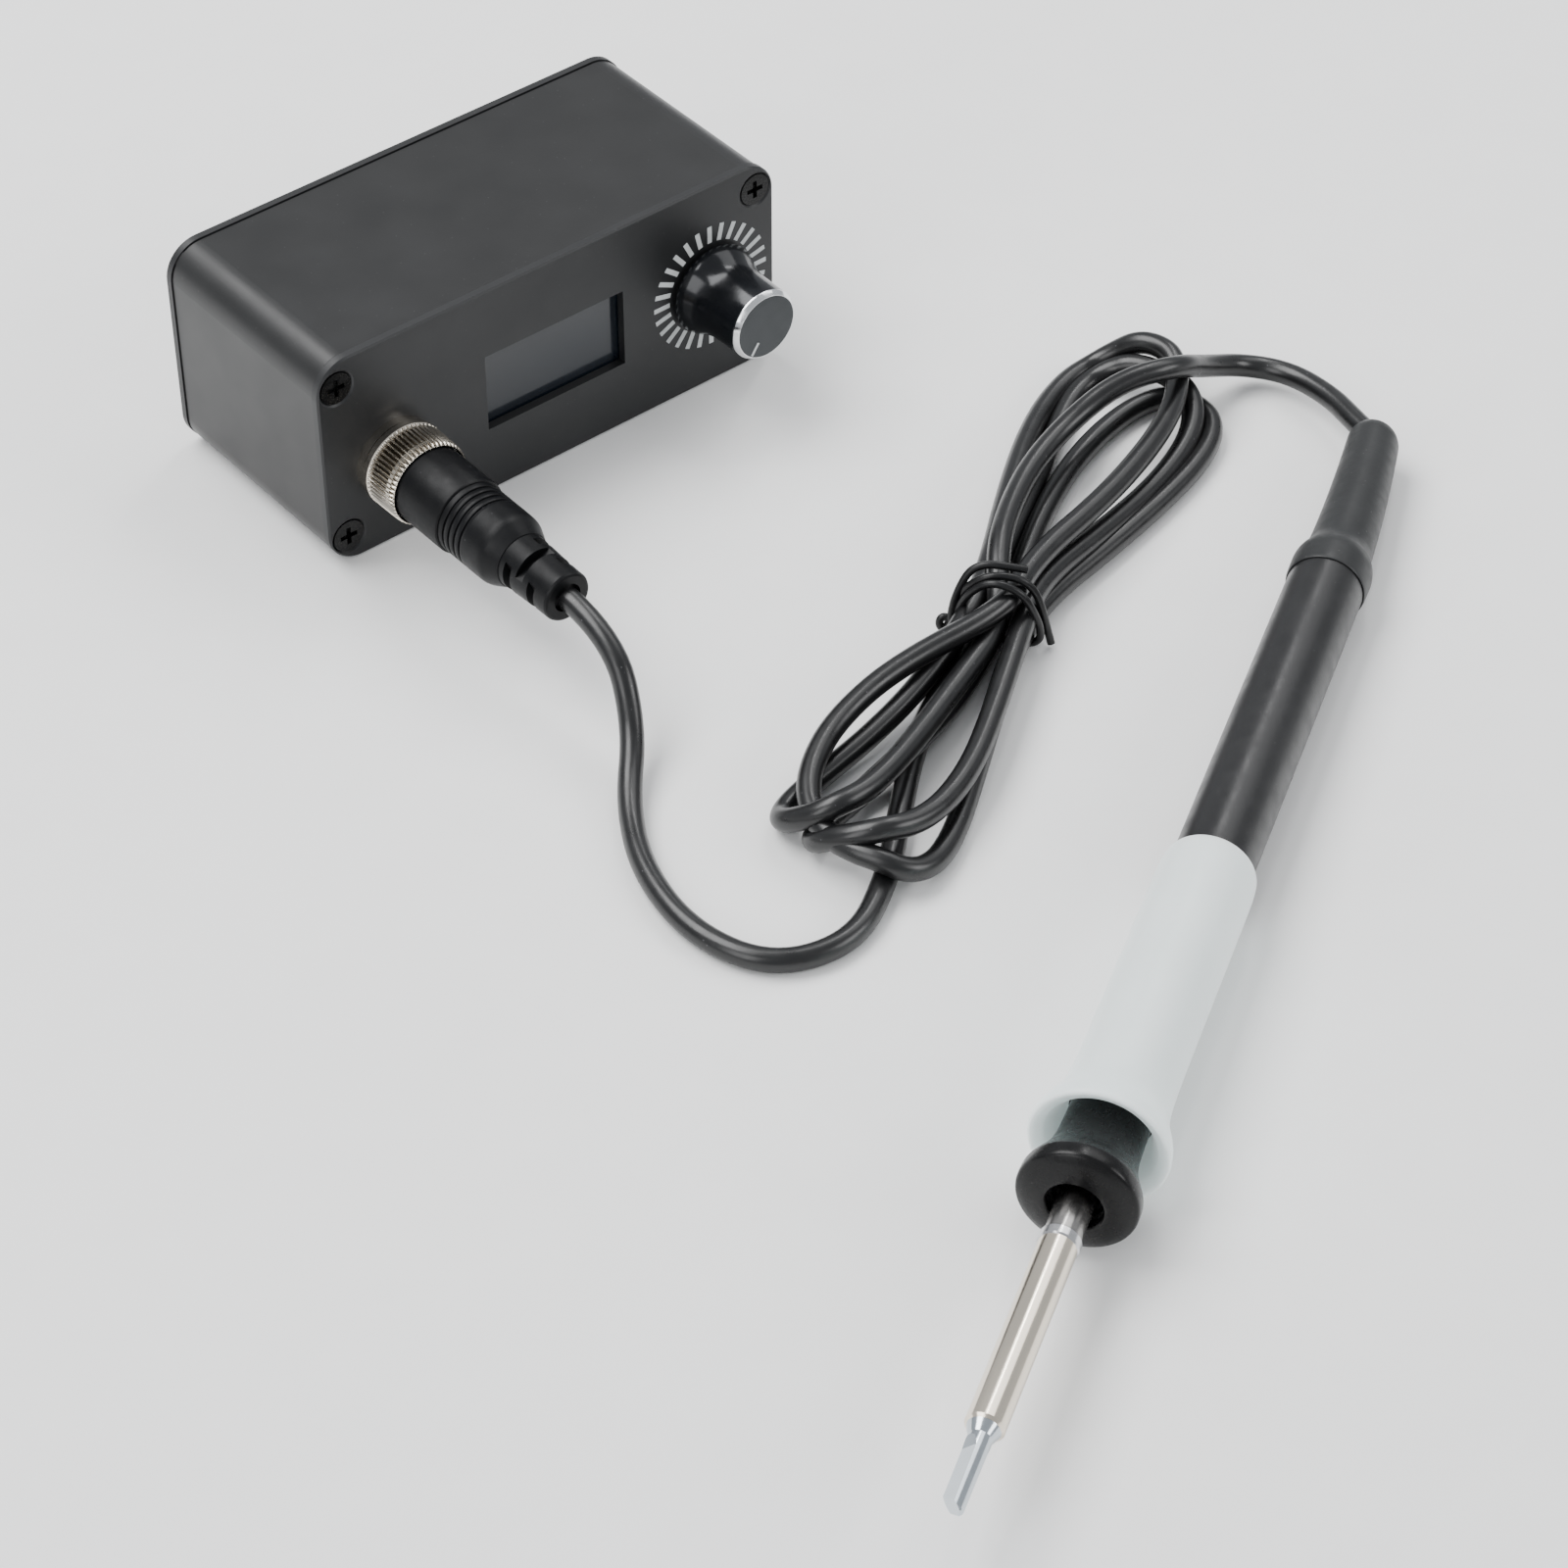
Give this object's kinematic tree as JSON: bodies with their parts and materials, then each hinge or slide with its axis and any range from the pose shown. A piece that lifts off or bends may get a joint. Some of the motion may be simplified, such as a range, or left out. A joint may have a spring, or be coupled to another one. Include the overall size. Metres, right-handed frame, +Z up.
{
  "type": "soldering iron station",
  "caption": "Mini soldering station: black anodised case with screen window and dial, round plug, coiled cord and a slim iron with a silicone grip",
  "frame": {"origin": "middle of the case's underside, on the surface everything stands on", "axes": "+X to the right seen from the front, +Y from the front panel to the rear, +Z up"},
  "size_m": [0.2001, 0.2525, 0.0382],
  "materials": {
    "case_anodised": "satin black anodised extrusion",
    "panel_anodised": "matt black anodised plate",
    "screw_black": "blackened steel",
    "print_white": "screen-printed ink",
    "display_dark": "dark display glass",
    "board_green": "solder-masked board",
    "part_black": "moulded component",
    "steel_plain": "plain steel",
    "solder_bright": "tinned metal",
    "knob_metal": "black anodised aluminium",
    "knob_bright": "cut bright aluminium",
    "nickel": "nickel plate",
    "plug_shell": "black moulded shell",
    "gold_contact": "gold plated contact",
    "tip_steel": "plated tip",
    "grip_silicone": "translucent blue-white silicone",
    "handle_black": "satin black tube",
    "boot_rubber": "soft rubber",
    "cord_pvc": "glossy cord jacket",
    "tie_black": "plastic-coated wire"
  },
  "bodies": {
    "root": {"case_extrusion": "case_anodised", "front_panel": "panel_anodised", "rear_panel": "panel_anodised", "front_screws": "screw_black", "rear_screws": "screw_black", "dial_ticks": "print_white", "display_glass": "display_dark", "display_board": "board_green", "display_header": "part_black", "controller_board": "board_green", "microcontroller": "part_black", "power_transistors": "part_black", "buck_inductor": "part_black", "filter_capacitors": "plug_shell", "wire_terminals": "part_black", "buzzer": "part_black", "encoder_body": "steel_plain", "encoder_nut": "nickel", "dc_jack": "plug_shell", "dc_jack_pin": "nickel", "dc_jack_nut": "nickel", "switch_frame": "plug_shell", "switch_terminals": "solder_bright", "socket_shell": "nickel", "socket_nut": "nickel", "socket_insulator": "part_black", "socket_pins": "gold_contact", "plug_collar": "steel_plain", "plug_insert": "part_black", "plug_contacts": "gold_contact", "plug_body": "plug_shell", "plug_strain_relief": "plug_shell", "nose_cone": "handle_black", "handle_tube": "handle_black", "silicone_grip": "grip_silicone", "rear_boot": "boot_rubber", "contact_holder": "part_black", "contact_springs": "gold_contact", "sensor_board": "board_green", "tilt_switch_can": "nickel", "cord_lead": "cord_pvc", "cord_to_iron": "cord_pvc", "cord_hank": "cord_pvc", "twist_tie": "tie_black"},
    "plunger": {"push_plunger": "part_black"},
    "knob": {"encoder_shaft": "steel_plain", "knob_body": "knob_metal", "knob_rim": "knob_bright", "knob_cap": "knob_metal", "knob_pointer": "print_white"},
    "nut": {"coupling_nut": "nickel", "nut_retaining_ring": "steel_plain"},
    "rocker": {"power_rocker": "plug_shell"},
    "tip": {"tip_bit": "tip_steel", "tip_barrel": "tip_steel", "tip_collar": "solder_bright", "tip_sleeve": "steel_plain", "tip_spacers": "part_black", "tip_contacts": "solder_bright"},
    "tilt_ball": {"tilt_switch_ball": "steel_plain"}
  },
  "joints": [
    {"name": "knob_push", "type": "slide", "parent": "root", "child": "plunger", "axis": [0, 1, 0], "range_m": [0, 0.0005], "stiffness_N_per_m": 3000},
    {"name": "knob_turn", "type": "hinge", "parent": "plunger", "child": "knob", "pos_m": [0.0312, -0.03, 0.019], "axis": [0, -1, 0], "continuous": true},
    {"name": "nut_turn", "type": "hinge", "parent": "root", "child": "nut", "pos_m": [-0.0312, -0.026, 0.0159], "axis": [0, -1, 0], "continuous": true},
    {"name": "rocker_flip", "type": "hinge", "parent": "root", "child": "rocker", "pos_m": [0.022, 0.0196, 0.019], "axis": [-1, 0, 0], "range_deg": [0, 22]},
    {"name": "tip_pull", "type": "slide", "parent": "root", "child": "tip", "axis": [-0.8507, -0.5248, 0.0283], "range_m": [0, 0.088]},
    {"name": "tilt_switch", "type": "slide", "parent": "root", "child": "tilt_ball", "axis": [-0.8507, -0.5248, 0.0283], "range_m": [0, 0.0052]}
  ]
}
